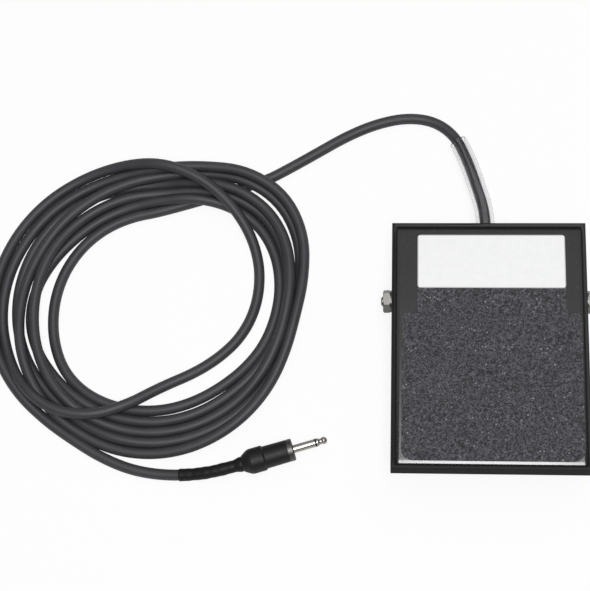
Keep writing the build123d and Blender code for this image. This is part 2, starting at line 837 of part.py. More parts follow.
with BuildPart() as plug_handle:
    with BuildSketch(plug_plane):
        with BuildLine():
            Polyline(
                (0, cord_r + cord_running),
                (0, grip_back_r - grip_edge),
                (grip_edge, grip_back_r),
                (grip_taper_l, grip_r - grip_crown_h),
                (grip_taper_l + grip_crown_l, grip_r),
                (grip_step_l, grip_r),
                (grip_step_l + grip_step_run, grip_front_r),
                (grip_l, grip_front_r - grip_draft),
                (grip_l, 0),
                (cord_into_plug + cord_end_gap, 0),
                (cord_into_plug + cord_end_gap, cord_r + cord_running),
                close=True,
            )
        make_face()
    revolve(axis=plug_axis)
finish(plug_handle, "plug_handle")

with BuildPart() as plug_collar:
    with BuildSketch(plug_plane):
        with BuildLine():
            Polyline(
                (collar_at, 0),
                (collar_at, collar_r),
                (barrel_at - collar_edge, collar_r),
                (barrel_at, collar_r - collar_edge),
                (barrel_at, 0),
                close=True,
            )
        make_face()
    revolve(axis=plug_axis)
finish(plug_collar, "plug_collar")

with BuildPart() as plug_barrel:
    with BuildSketch(plug_plane):
        with BuildLine():
            Polyline(
                (barrel_at, plug_core_r + cord_running),
                (barrel_at, barrel_r),
                (plug_ring_at, barrel_r),
                (plug_ring_at, plug_core_r + cord_running),
                close=True,
            )
        make_face()
    revolve(axis=plug_axis)
finish(plug_barrel, "plug_barrel")

with BuildPart() as plug_ring:
    with BuildSketch(plug_plane):
        with BuildLine():
            Polyline(
                (plug_ring_at, plug_core_r + cord_running),
                (plug_ring_at, barrel_r),
                (plug_tip_at, barrel_r),
                (plug_tip_at, plug_core_r + cord_running),
                close=True,
            )
        make_face()
    revolve(axis=plug_axis)
finish(plug_ring, "plug_ring")

with BuildPart() as plug_tip:
    with BuildSketch(plug_plane):
        with BuildLine():
            neck_at = plug_tip_at + plug_neck_at
            Polyline(
                (tip_end, 0),
                (barrel_at, 0),
                (barrel_at, plug_core_r),
                (plug_tip_at, plug_core_r),
                (plug_tip_at, barrel_r),
                (plug_tip_at + plug_shoulder_l, barrel_r),
                (neck_at, plug_neck_r),
                (neck_at + plug_neck_l, plug_neck_r),
                (tip_end - tip_round_r, tip_round_r),
            )
            RadiusArc((tip_end - tip_round_r, tip_round_r), (tip_end, 0), tip_round_r)
        make_face()
    revolve(axis=plug_axis)
finish(plug_tip, "plug_tip")

# Shrink sleeve over the end of the cord, up against the plug's grip
shrink_bore_r = cord_r + cord_running
shrink_points = [between(*tail_points[-4:-2]), *tail_points[-3:-1], plug_back]
with BuildPart() as plug_sleeve:
    with BuildLine():
        shrink_route = FilletPolyline(*shrink_points, radius=turn_radii(tail_points)[-2:])
    with BuildSketch(Plane(origin=shrink_route @ 0, z_dir=shrink_route % 0)):
        Circle(shrink_bore_r + shrink_wall)
        Circle(shrink_bore_r, mode=Mode.SUBTRACT)
    sweep()
finish(plug_sleeve, "plug_sleeve")


# Conductors from the end of the jacket to their lugs
lug_z = case_bottom - lug_l + lug_eye_up
common_y = lug_spots[2] + lug_t / 2
open_y = lug_spots[1] + lug_t / 2
wires = {
    "lead_common": [
        (wire_apart, jacket_end_y, cord_z),
        (wire_apart, jacket_end_y - wire_run, cord_z),
        (common_eye_x, common_y + wire_run, lug_z),
        (common_eye_x, common_y, lug_z),
    ],
    "lead_open": [
        (-wire_apart, jacket_end_y, cord_z),
        (-wire_apart, jacket_end_y - wire_run, cord_z),
        (-wire_swing, common_y + wire_run, lug_z),
        (-wire_swing, open_y + wire_run, lug_z),
        (open_eye_x, open_y + wire_turn_in, lug_z),
        (open_eye_x, open_y, lug_z),
    ],
}
for name, points in wires.items():
    with BuildPart() as wire:
        with BuildLine():
            wire_route = FilletPolyline(*points, radius=turn_radii(points))
        with BuildSketch(Plane(origin=wire_route @ 0, z_dir=wire_route % 0)):
            Circle(wire_d / 2)
        sweep()
    finish(wire, name)

print("pivot", round(pivot_y, 3), pivot_z, "pan top", round(pan_top, 3), "case top", round(case_top, 3))
print("plunger top", round(plunger_top, 3), "case bottom", round(case_bottom, 3))
print("spring", round(spring_foot, 3), round(spring_head, 3))
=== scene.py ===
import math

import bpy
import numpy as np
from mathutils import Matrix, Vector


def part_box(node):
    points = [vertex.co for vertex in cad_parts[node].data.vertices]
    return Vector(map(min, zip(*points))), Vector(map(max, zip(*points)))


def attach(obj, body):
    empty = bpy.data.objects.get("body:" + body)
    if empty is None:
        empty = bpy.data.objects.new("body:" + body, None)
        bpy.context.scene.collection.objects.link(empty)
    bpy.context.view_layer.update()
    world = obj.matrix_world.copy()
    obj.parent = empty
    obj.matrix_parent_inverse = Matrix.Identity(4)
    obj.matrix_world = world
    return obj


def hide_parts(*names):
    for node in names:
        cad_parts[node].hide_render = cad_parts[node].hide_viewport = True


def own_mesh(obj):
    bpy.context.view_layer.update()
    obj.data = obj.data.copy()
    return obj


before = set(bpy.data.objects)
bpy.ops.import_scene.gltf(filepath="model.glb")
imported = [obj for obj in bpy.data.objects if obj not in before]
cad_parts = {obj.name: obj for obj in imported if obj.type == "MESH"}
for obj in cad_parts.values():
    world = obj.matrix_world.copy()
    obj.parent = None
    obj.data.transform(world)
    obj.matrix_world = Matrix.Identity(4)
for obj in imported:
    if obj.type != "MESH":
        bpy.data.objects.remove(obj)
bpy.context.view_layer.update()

# %% [markdown]
# # A foot switch with its cord, in Blender
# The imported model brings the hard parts: a folded steel tread that hinges over a folded steel pan, nuts,
# switch, plug. What is left for Blender is the cord in its loose coil, the clear sleeve where the cord
# leaves the housing, and every finish. Lengths below are millimetres; MM turns them into Blender's metres.

MM = 0.001

# %% [markdown]
# ## The camera
# The photograph looks down on the tread from about two thirds of a metre, tipped toward the toe end, and a
# little turned. The place and the three angles were fitted to the edges of the tread, whose size is known.
# A camera in Blender looks along its own -Z with +Y up, so the three axes worked out here go straight into
# the columns of its matrix.

# %% Camera
CAMERA_AT = np.array([-33.44, -153.34, 674.55]) * MM
LOOK_DOWN, HEADING, ROLL = (math.radians(a) for a in (74.41, -15.68, -14.91))
FOCAL_PX, FRAME_PX, SENSOR_MM = 1579.64, 590, 36.0
CLIP_NEAR, CLIP_FAR = 0.01, 50.0

ahead = np.array([
    math.sin(HEADING) * math.cos(LOOK_DOWN),
    math.cos(HEADING) * math.cos(LOOK_DOWN),
    -math.sin(LOOK_DOWN),
])
level = np.array([math.cos(HEADING), -math.sin(HEADING), 0.0])
upward = np.cross(level, ahead)
right = level * math.cos(ROLL) + upward * math.sin(ROLL)
top = upward * math.cos(ROLL) - level * math.sin(ROLL)

lens = bpy.data.cameras.new("camera")
lens.sensor_fit = "HORIZONTAL"
lens.sensor_width = SENSOR_MM
lens.lens = FOCAL_PX / FRAME_PX * SENSOR_MM
lens.clip_start, lens.clip_end = CLIP_NEAR, CLIP_FAR
camera = bpy.data.objects.new("camera", lens)
matrix = np.eye(4)
matrix[:3, 0], matrix[:3, 1], matrix[:3, 2], matrix[:3, 3] = right, top, -ahead, CAMERA_AT
camera.matrix_world = Matrix(matrix.tolist())
bpy.context.scene.collection.objects.link(camera)
bpy.context.scene.camera = camera
print("lens", round(lens.lens, 2), "mm")

# %% [markdown]
# ## The cord's route
# The cord leaves the housing level, sags to the floor inside its sleeve, and runs in a shallow curve to
# the coil. The coil is thrown down by hand, so no two turns are the same: its line is given as distances
# from a centre, eight to a turn, and a smooth interpolation fills in between. The end of the route rises
# into the plug, whose moulded handle keeps the cord off the floor. The points are in millimetres until the
# whole route is scaled at once.

# %% Route points
CORD_D = 4.8 * MM
CORD_R = CORD_D / 2
EXIT_Z, FLOOR_Z, PLUG_Z = 11.2, 2.4, 5.5
LEAD = [
    (0.0, 38.0, EXIT_Z), (0.0, 60.0, EXIT_Z), (-4.2, 75.5, 9.4), (-8.2, 89.0, 6.4), (-13.4, 101.4, 3.5),
    (-22.6, 109.0, FLOOR_Z), (-35.2, 110.8, FLOOR_Z), (-49.0, 107.8, FLOOR_Z), (-62.5, 101.8, FLOOR_Z),
    (-76.0, 93.6, FLOOR_Z), (-89.0, 85.9, FLOOR_Z), (-100.0, 79.9, FLOOR_Z),
]
TAIL = [
    (-178.5, -38.9, FLOOR_Z), (-166.5, -46.0, FLOOR_Z), (-153.0, -51.3, FLOOR_Z),
    (-139.0, -53.3, FLOOR_Z), (-125.5, -53.0, 3.4), (-113.985, -51.278, PLUG_Z), (-100.118, -47.038, PLUG_Z),
]
COIL_CENTRE = (-145.0, 16.5)
STATIONS = 8
COIL_TURNS = [
    (50.0, 48.5, 47.0, 47.0, 42.0, 43.0, 54.0, 62.0),
    (54.5, 54.0, 57.5, 50.0, 46.9, 48.3, 56.0, 66.5),
    (58.5, 57.6, 55.0, 54.0, 51.6, 52.8, 57.5, 69.0),
    (62.0, 66.2, 63.5, 58.0, 56.2, 56.6, 60.0, 76.0),
    (65.6, 62.0, 61.5, 62.0, 61.0, 60.0, 61.5, 79.0),
    (67.8, 70.6, 70.5, 61.0, 33.2, 31.0, 42.0, 56.5),
    (69.2, 76.0, 74.5, 66.0),
]
STEPS = 3
COIL_START = math.radians(90)


def through(values, steps):
    """Catmull-Rom curve through values, steps points a gap.

    Each gap is a cubic whose slope at either end is half the difference of the two values beside that end.
    """
    v = np.concatenate([values[:1] * 2 - values[1:2], values, values[-1:] * 2 - values[-2:-1]])
    t = (np.arange(steps) / steps)[None, :]
    a, b, c, d = (v[k : len(v) - 3 + k, None] for k in range(4))
    curve = 0.5 * (2 * b + (c - a) * t + (2 * a - 5 * b + 4 * c - d) * t**2 + (3 * b - a - 3 * c + d) * t**3)
    return np.append(curve.ravel(), values[-1])


reach = through(np.array([r for turn in COIL_TURNS for r in turn]), STEPS)
bearing = COIL_START + np.arange(len(reach)) * math.radians(360 / STATIONS) / STEPS
coil = np.stack([
    COIL_CENTRE[0] + reach * np.cos(bearing),
    COIL_CENTRE[1] + reach * np.sin(bearing),
    np.full(len(reach), FLOOR_Z),
], axis=1)
route = np.concatenate([np.array(LEAD), coil, np.array(TAIL)]) * MM
first, last = len(LEAD), len(LEAD) + len(coil)
print(len(route), "points, of which", len(coil), "in", round(len(reach) / STATIONS / STEPS, 2), "turns")

# %% [markdown]
# ## Laying the coil down
# A cord can't pass through itself. Here it is let down as a heap: the line is cut into short steps, each
# later turn starts a little higher than the one before, and then everything sinks while steps that touch
# push each other apart. Sideways and upward moves are smoothed along the cord, because it is stiff. After
# some hundred rounds the turns lie beside each other and cross in long low humps, as they do on a table.
# A chain of rigid links in a physics simulation could do this too, but arithmetic on whole arrays needs
# nothing baked and ends the same on every run.

# %% Let the turns settle
FINE = 6
TOUCH, NEARBY = 4.7 * MM, 14 * MM
START_H, TURN_H, SINK = 0.5 * MM, 1.5 * MM, 0.08 * MM
ROUNDS, SINKING = 500, 0.8
ASIDE, LIFT, PUSH, STIFF, KEPT = 0.2, 0.5, 1.4, 0.2, 0.98
BEFORE_COIL, PAST_COIL, FREED_OVER = 4, 1, 3


def smooth_line(points, n):
    """Quadratic B-spline of the points, n samples a span: the same line as an order 3 NURBS has inside."""
    t = (np.arange(n) / n)[None, :, None]
    a, b, c = points[:-2, None], points[1:-1, None], points[2:, None]
    line = 0.5 * ((1 - t) ** 2 * a + (1 + 2 * t - 2 * t**2) * b + t**2 * c)
    return line.reshape(-1, 3)


def settle(line, free, first):
    """How far each step of a line moves as it sinks and touching steps push each other apart, half each.

    The push runs along the line between two touching steps, with a little lift for the later one, so that
    a turn climbs over its neighbours before it shoves them aside. A step's new move is STIFF of the move of
    either neighbour and the rest of its own. free is 0 where a step may not move and 1 where it may.
    """
    count = np.arange(len(line))
    apart = np.linalg.norm(line[:, None, :2] - line[None, :, :2], axis=2)
    i, j = np.nonzero((apart < NEARBY) & (count[None, :] - count[:, None] > 4 * FINE))
    moved = np.zeros_like(line)
    moved[:, 2] = free * (START_H + TURN_H * np.clip(count / FINE - first, 0, None) / (STATIONS * STEPS))
    for step in range(ROUNDS):
        moved[:, 2] -= SINK * (step < ROUNDS * SINKING)
        here = line + moved
        gap = here[j] - here[i]
        far = np.linalg.norm(gap, axis=1)
        way = gap / far[:, None] * [ASIDE, ASIDE, 1.0] + [0, 0, LIFT]
        push = way * (np.clip(TOUCH - far, 0, None) * 0.5)[:, None]
        hit = np.bincount(i, far < TOUCH, len(line)) + np.bincount(j, far < TOUCH, len(line))
        for axis in range(3):
            total = np.bincount(j, push[:, axis], len(line)) - np.bincount(i, push[:, axis], len(line))
            moved[:, axis] += PUSH * total / np.maximum(hit, 1)
        moved[1:-1] = STIFF * moved[:-2] + (1 - 2 * STIFF) * moved[1:-1] + STIFF * moved[2:]
        moved[:, :2] *= KEPT
        moved *= free[:, None]
        moved[:, 2] = np.maximum(moved[:, 2], 0)
    here = line + moved
    far = np.linalg.norm(here[j] - here[i], axis=1)
    print("closest turns, mm:", round(float(far.min()) / MM, 2), "mean of touching:",
          round(float(far[far < TOUCH].mean()) / MM, 2))
    return moved


fine = smooth_line(route, FINE)
span = np.arange(len(fine)) / FINE
loosened = np.clip((span - (first - BEFORE_COIL)) / FREED_OVER, 0, 1)
held = np.clip((last + PAST_COIL - span) / FREED_OVER, 0, 1)
free = loosened * held
moved = settle(fine, free, first)
# Each control point takes the move of the sample in the middle of the span that it rules.
middle = np.clip((np.arange(len(route)) - 1) * FINE + FINE // 2, 0, len(fine) - 1)
route = route + moved[middle]
print("highest turn, mm:", round(float(route[:, 2].max() + CORD_R) / MM, 1))

# %% [markdown]
# ## The cord as one curve
# A NURBS curve of order 3 runs smoothly past its points. Its order and end rule are set after the points
# are there, or it stays a chain of straight runs. A round bevel gives it its jacket.

# %% Cord
cord_curve = bpy.data.curves.new("cord", "CURVE")
cord_curve.dimensions = "3D"
spline = cord_curve.splines.new("NURBS")
spline.points.add(len(route) - 1)
spline.points.foreach_set("co", np.column_stack([route, np.ones(len(route))]).ravel())
spline.order_u = 3
spline.use_endpoint_u = True
spline.resolution_u = 6
cord_line = bpy.data.objects.new("cord_line", cord_curve)
bpy.context.scene.collection.objects.link(cord_line)
line_mesh = bpy.data.meshes.new_from_object(cord_line)
followed = np.zeros(len(line_mesh.vertices) * 3)
line_mesh.vertices.foreach_get("co", followed)
followed = followed.reshape(-1, 3)
bpy.data.meshes.remove(line_mesh)
cord_curve.bevel_depth = CORD_R
cord_curve.bevel_resolution = 6
cord_line.name = "cord"

# %% [markdown]
# ## Surfaces from numbers
# Every other new piece is a grid of points: a ring of angles carried along a line. One helper turns such a
# grid into a mesh, others measure a line and carry rings along it, and the last makes a tube with a wall.

# %% Grid to mesh


def to_mesh(name, grid, loop=False, caps=False):
    """Grid of points, rows x ring, into quads between neighbours.

    loop joins the last row to the first; caps closes the first and the last ring with a face each.
    """
    rows, ring = grid.shape[:2]
    r, c = np.meshgrid(np.arange(rows if loop else rows - 1), np.arange(ring), indexing="ij")
    after, beside = (r + 1) % rows, (c + 1) % ring
    quads = np.stack([r * ring + c, r * ring + beside, after * ring + beside, after * ring + c], axis=-1)
    faces = quads.reshape(-1, 4).tolist()
    smooth = [True] * len(faces)
    if caps:
        end = np.arange(ring)
        faces += [end[::-1].tolist(), (end + (rows - 1) * ring).tolist()]
        smooth += [False, False]
    mesh = bpy.data.meshes.new(name)
    mesh.from_pydata(grid.reshape(-1, 3).tolist(), [], faces)
    mesh.polygons.foreach_set("use_smooth", smooth)
    made = bpy.data.objects.new(name, mesh)
    bpy.context.scene.collection.objects.link(made)
    print(name, len(mesh.polygons), "faces")
    return made


def frames_along(line):
    """Unit forward, side and up vectors at each point of a line; side is level, up completes the three."""
    forward = np.gradient(line, axis=0)
    forward /= np.linalg.norm(forward, axis=1)[:, None]
    side = np.cross(forward, [0.0, 0.0, 1.0])
    side /= np.linalg.norm(side, axis=1)[:, None]
    return forward, side, np.cross(side, forward)


def distances(line):
    """Distance along a line at each of its points: the sum of the steps before it."""
    return np.concatenate([[0], np.cumsum(np.linalg.norm(np.diff(line, axis=0), axis=1))])


def stretch_of(line, start, end, n):
    """n points evenly spaced by distance from start to end along a line."""
    at = np.linspace(start, end, n)
    return np.stack([np.interp(at, distances(line), line[:, k]) for k in range(3)], axis=1)


def distance_at(line, point):
    """Distance along a line to its sample nearest to a point."""
    return float(distances(line)[np.argmin(np.linalg.norm(line - point, axis=1))])


def rings(centre, radius, ring):
    """Rings round a line: centre(s) + radius(s) * (cos(angle) * side(s) + sin(angle) * up(s))."""
    _, side, up = frames_along(centre)
    angle = np.linspace(0, 2 * math.pi, ring, endpoint=False)[None, :, None]
    around = np.cos(angle) * side[:, None] + np.sin(angle) * up[:, None]
    return centre[:, None] + np.broadcast_to(radius, len(centre))[:, None, None] * around


def sleeve(name, centre, outside, inside, ring):
    """A tube with a wall: the outer skin runs forward, the inner one back, and both ends are rounded over."""
    forward = frames_along(centre)[0]
    outer, inner = rings(centre, outside, ring), rings(centre, inside, ring)
    lip = 0.5 * (outer + inner)
    edge = 0.25 * float(np.mean(outside - inside))
    start_lip = lip[:1] - forward[:1, None] * edge
    end_lip = lip[-1:] + forward[-1:, None] * edge
    return to_mesh(name, np.concatenate([outer, end_lip, inner[::-1], start_lip])[::-1], loop=True)


print("cord sampled at", len(followed), "points")

# %% [markdown]
# ## The clear bend sleeve
# A soft clear tube guards the cord where it leaves the housing. Its root is gripped round the cord by the
# bushing; further out it is wider than the cord, which sinks to the bottom of its bore, so the tube's own
# line lifts off the cord's by a smooth step. It could be a curve with a bevel, but that has no wall, and
# clear plastic only looks like a tube when light meets two skins.

# %% Clear sleeve
SLEEVE_L, SLEEVE_R, SLEEVE_BORE_R = 49 * MM, 4.0 * MM, 3.2 * MM
SLEEVE_LIFT, LIFT_FROM, LIFT_OVER = 0.72 * MM, 0.08, 0.35

root = distance_at(followed, [0.0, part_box("bend_sleeve")[0][1], EXIT_Z * MM])
run = stretch_of(followed, root, root + SLEEVE_L, 70)
along = np.linspace(0, 1, len(run))
risen = np.clip((along - LIFT_FROM) / LIFT_OVER, 0, 1)
lift = SLEEVE_LIFT * risen**2 * (3 - 2 * risen)
lifted = run + frames_along(run)[2] * lift[:, None]
clear_sleeve = sleeve("clear_sleeve", lifted, SLEEVE_R, SLEEVE_BORE_R, ring=56)

# %% [markdown]
# ## The shrunk sleeve at the plug
# Heat-shrink tube has pulled itself tight over the end of the cord and the plug's tail. It keeps a faint
# waviness, which two sines of unlike lengths give, swells where it runs up onto the tail, and its cut end
# stands up as a little step that the light catches. It is made as the clear tube is.

# %% Shrunk sleeve
SHRUNK_R, SHRUNK_BORE_R, SWELL, SWELL_FROM, SWELL_OVER = 2.68 * MM, 2.44 * MM, 0.5 * MM, 0.86, 0.1
CUT_END = (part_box("plug_sleeve")[0][0], -53.2 * MM, 3.4 * MM)
PLUG_HEEL = (-104.9 * MM, -48.5 * MM, PLUG_Z * MM)

run = stretch_of(followed, distance_at(followed, CUT_END), distance_at(followed, PLUG_HEEL), 90)
along = np.linspace(0, 1, len(run))
waves = 0.05 * MM * np.sin(along * 21) + 0.04 * MM * np.sin(along * 47 + 1)
swell = SWELL * np.clip((along - SWELL_FROM) / SWELL_OVER, 0, 1)
shrunk_sleeve = sleeve("shrunk_sleeve", run, SHRUNK_R + waves + swell, SHRUNK_BORE_R, ring=32)

# %% [markdown]
# ## The return spring
# A compression spring is wound from straight wire; its end turns lie close and are ground flat, so that it
# stands square on its post. The imported spring is an even helix of fixed height. This one is drawn anew,
# with close turns at its ends. Its height is the close pitch times the turns, plus the spare height shared
# out over the open turns, and cutting the heights off at both ends grinds it flat.

# %% Spring
WIRE_R, CLOSE_PITCH = 0.6 * MM, 1.3 * MM
WINDINGS, CLOSE_TURNS, EASING = 7.5, 1.0, 0.5

spring_low, spring_high = (np.array(c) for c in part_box("return_spring"))
spring_axis = (spring_low + spring_high) / 2
winding = np.linspace(0, WINDINGS, 361)
opened = np.cumsum(np.clip(np.minimum(winding, WINDINGS - winding) - CLOSE_TURNS, 0, EASING))
spare = spring_high[2] - spring_low[2] - WIRE_R - CLOSE_PITCH * WINDINGS
height = spring_low[2] + WIRE_R / 2 + CLOSE_PITCH * winding + spare * opened / opened[-1]
coil_r = (spring_high[0] - spring_low[0]) / 2 - WIRE_R
wire = np.stack([
    spring_axis[0] + coil_r * np.cos(2 * math.pi * winding),
    spring_axis[1] + coil_r * np.sin(2 * math.pi * winding),
    height,
], axis=1)
wound = rings(wire, WIRE_R, ring=16)
wound[..., 2] = np.clip(wound[..., 2], spring_low[2], spring_high[2])
spring = to_mesh("coil_spring", wound[::-1], caps=True)

# %% [markdown]
# ## Shader arithmetic
# A pattern is a sum of simple ones. Wrapping a socket in a small class lets Python's own signs add the Math
# nodes, so a formula reads like one. Every node, of whatever kind, comes from one function.

# %% Socket


class Socket:
    """One output of a shader tree. Arithmetic on it adds Math nodes and gives the new output."""

    def __init__(self, tree, output):
        self.tree, self.output = tree, output

    def worked_out(self, operation, *values):
        """The outcome of one Math node."""
        return add_node(self.tree, "Math", {"operation": operation}, dict(enumerate(values)))

    def __add__(self, other):
        return self.worked_out("ADD", self, other)

    def __sub__(self, other):
        return self.worked_out("SUBTRACT", self, other)

    def __rsub__(self, other):
        return self.worked_out("SUBTRACT", other, self)

    def __mul__(self, other):
        return self.worked_out("MULTIPLY", self, other)

    def __pow__(self, other):
        return self.worked_out("POWER", self, other)

    def __abs__(self):
        return self.worked_out("ABSOLUTE", self)

    __radd__, __rmul__ = __add__, __mul__

    def at_most(self, other):
        return self.worked_out("MINIMUM", self, other)

    def at_least(self, other):
        return self.worked_out("MAXIMUM", self, other)

    def between(self, low, high):
        """0 below low, 1 above high, a smooth rise between them."""
        limits = {0: self, 1: low, 2: high, 3: 0.0, 4: 1.0}
        return add_node(self.tree, "MapRange", {"interpolation_type": "SMOOTHSTEP"}, limits)


def connect(tree, place, value):
    """Links a Socket into place, or sets place to a constant."""
    if isinstance(value, Socket):
        tree.links.new(value.output, place)
    else:
        place.default_value = value


def add_node(tree, kind, settings=None, sockets=None, out=0):
    """Adds one node: settings first, then its sockets by number or name; out picks the output given back."""
    made = tree.nodes.new("ShaderNode" + kind)
    for name, value in (settings or {}).items():
        setattr(made, name, value)
    places = {**dict(enumerate(made.inputs)), **{s.identifier: s for s in made.inputs}}
    for name, value in (sockets or {}).items():
        connect(tree, places[name], value)
    outputs = {**dict(enumerate(made.outputs)), **{s.identifier: s for s in made.outputs}}
    return Socket(tree, outputs[out])


def paint(r, g, b):
    """A colour as a photograph's 0-255 values, turned into the linear values that light adds up in."""
    c = np.array([r, g, b]) / 255
    linear = np.where(c < 0.04045, c / 12.92, ((c + 0.055) / 1.055) ** 2.4)
    return (*linear.tolist(), 1.0)


print("mid grey in linear light:", round(paint(128, 128, 128)[0], 3))

# %% [markdown]
# ## A finish
# Every surface here is one Principled shader fed by patterns that read Object coordinates, in metres, so a
# speck has the same size on every piece. The class below holds a material and makes the few patterns that
# are used. What is the same all over a surface is set on the shader itself.

# %% Finish


class Finish:
    """A material: a Principled shader, with helpers for the patterns that feed it."""

    def __init__(self, name, **fixed):
        self.material = bpy.data.materials.new(name)
        self.material.use_nodes = True
        self.tree = self.material.node_tree
        self.shader = self.tree.nodes["Principled BSDF"]
        self.look = Socket(self.tree, self.shader.outputs[0])
        self.set(**fixed)

    def set(self, **values):
        """Feeds the shader's sockets, named as in Blender with _ for each space."""
        for name, value in values.items():
            connect(self.tree, self.shader.inputs[name.replace("_", " ")], value)

    def node(self, kind, settings=None, sockets=None, out=0):
        """One more node in this material, as add_node makes it."""
        return add_node(self.tree, kind, settings, sockets, out)

    def cover(self, factor, other):
        """Where factor is 1, another shader hides what the material has shown so far."""
        self.look = self.node("MixShader", sockets={0: factor, 1: self.look, 2: other})
        connect(self.tree, self.tree.nodes["Material Output"].inputs["Surface"], self.look)

    def place(self, scale=(1, 1, 1), turn=0.0):
        """Object coordinates, turned back by an angle about the upright and then drawn out by scale."""
        where = self.node("TexCoord", out="Object")
        if turn:
            where = self.node("Mapping", sockets={"Vector": where, "Rotation": (0, 0, -turn)})
        return self.node("Mapping", sockets={"Vector": where, "Scale": scale})

    def parts(self, where):
        """The x, y and z of a vector as three plain sockets."""
        return tuple(self.node("SeparateXYZ", sockets={"Vector": where}, out=k) for k in range(3))

    def noise(self, where, size, detail=2.0, rough=0.5):
        """Soft random blotches, size across in metres."""
        return self.node("TexNoise", sockets={
            "Vector": where, "Scale": 1 / size, "Detail": detail, "Roughness": rough})

    def cells(self, where, size):
        """Distance to the nearest of scattered points that lie size apart."""
        return self.node("TexVoronoi", sockets={"Vector": where, "Scale": 1 / size})

    def inset(self, where, node):
        """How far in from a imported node's sides and ends: half its size - |way from its middle|."""
        low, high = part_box(node)
        x, y, _ = self.parts(where)
        return tuple(
            (high[k] - low[k]) / 2 - abs(way - (low[k] + high[k]) / 2) for k, way in enumerate((x, y)))

    def mix(self, factor, a, b):
        """Colour a where factor is 0, b where it is 1."""
        return self.node("Mix", {"data_type": "RGBA"},
                         {"Factor_Float": factor, "A_Color": a, "B_Color": b}, "Result_Color")

    def bump(self, height, depth, strength=1.0):
        """Turns a height of 0 to 1 into relief depth metres deep."""
        return self.node("Bump", sockets={"Height": height, "Distance": depth, "Strength": strength})

    def put_on(self, *objects):
        """Makes this the only material of the objects."""
        for made in objects:
            made.data.materials.clear()
            made.data.materials.append(self.material)
        print(self.material.name, "on", len(objects))


def nodes(*names):
    """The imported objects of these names."""
    return [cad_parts[n] for n in names]


# %% [markdown]
# ## Enamel on the steel
# Tread and pan are folded steel, sprayed satin black and baked. The film has a fine orange peel, it mirrors
# the lamp above as a soft bright band, and a little dust has settled on it. The peel could be modelled, but
# it is a few thousandths of a millimetre deep, so a Bump node is the right tool. Where the paint is thick it
# is smoother, which one slow noise shared by colour and roughness gives.
#
# A sheet also starts to roll over a little before its fold. That crown is too shallow to model and too clear
# in the mirror to leave out: it is why the tread's sides go dark beside the pad while its front lights up.
# Folds and skirts are duller, because the gun sprays from above and its mist reaches them half dry. There a
# second shader without any mirror takes over in part, on the tread more than on the pan.

# %% Black enamel
SIDE_CROWN, END_CROWN, CROWN_R = 3.7 * MM, 5.2 * MM, 8.0 * MM
PEEL_DEPTH = 0.0016 * MM


def sprayed_black(name, dry, crown_of=None):
    """Satin enamel whose steep faces are dry to the share given.

    With crown_of, height falls by (way into the crown)^2 / (2 * its radius) near the folds of that piece.
    """
    enamel = Finish(name, IOR=1.52)
    spot = enamel.place()
    peel = enamel.noise(spot, 0.9 * MM)
    cloud = enamel.noise(spot, 16 * MM, detail=3)
    dust = enamel.noise(spot, 0.45 * MM, detail=1).between(0.70, 0.78)
    relief = peel * PEEL_DEPTH
    if crown_of:
        for inset, crown in zip(enamel.inset(spot, crown_of), (SIDE_CROWN, END_CROWN)):
            relief = relief - (crown - inset).at_least(0.0) ** 2.0 * (0.5 / CROWN_R)
    steep = 1 - abs(enamel.parts(enamel.node("NewGeometry", out="Normal"))[2])
    film = enamel.mix(cloud, paint(11, 11, 12), paint(18, 18, 19))
    enamel.set(
        Roughness=0.14 + cloud * 0.07 + dust * 0.3 + steep * 0.6,
        Base_Color=enamel.mix(dust * 0.35, film, paint(120, 118, 114)),
        Normal=enamel.bump(relief, depth=1.0),
    )
    mist = enamel.node("BsdfPrincipled", sockets={
        "Base Color": film, "Roughness": 0.9, "Specular IOR Level": 0.0})
    enamel.cover(steep.between(0.03, 0.35) * dry, mist)
    return enamel


sprayed_black("tread_enamel", 0.65, crown_of="tread_cover").put_on(*nodes("tread_cover"))
sprayed_black("pan_enamel", 0.25).put_on(*nodes("base_pan"))

# %% [markdown]
# ## The grained pad
# A sheet of rubber with a pebbled grain is glued to the tread for grip. Seen from above it is dark grey with
# light and dark specks under a millimetre wide and here and there a bright one, in loose clusters. Modelled
# pebbles would be thousands of faces for something a foot wears smooth, so cells give the relief, a rough
# noise the specks, and the bright ones are the middles of cells that a slow noise lets through.

# %% Pad rubber
grain = Finish("pad_grain", IOR=1.5)
spot = grain.place()
pebble = grain.cells(spot, 1.1 * MM)
fleck = grain.noise(spot, 0.75 * MM, detail=4, rough=0.85)
patch = grain.noise(spot, 5.0 * MM, detail=3)
blotch = grain.noise(spot, 1.9 * MM, detail=2)
dark = grain.mix(patch, paint(5, 5, 8), paint(14, 13, 17))
speckled = grain.mix((fleck + blotch * 0.2).between(0.50, 0.76), dark, paint(98, 97, 104))
bright = 1 - grain.cells(spot, 1.7 * MM).between(0.12, 0.24)
grain.set(
    Base_Color=grain.mix(bright * patch.between(0.50, 0.62), speckled, paint(150, 149, 152)),
    Roughness=0.66 + fleck * 0.2,
    Normal=grain.bump(fleck - pebble * 0.7, 0.16 * MM, 0.8),
)
grain.put_on(*nodes("tread_pad"))
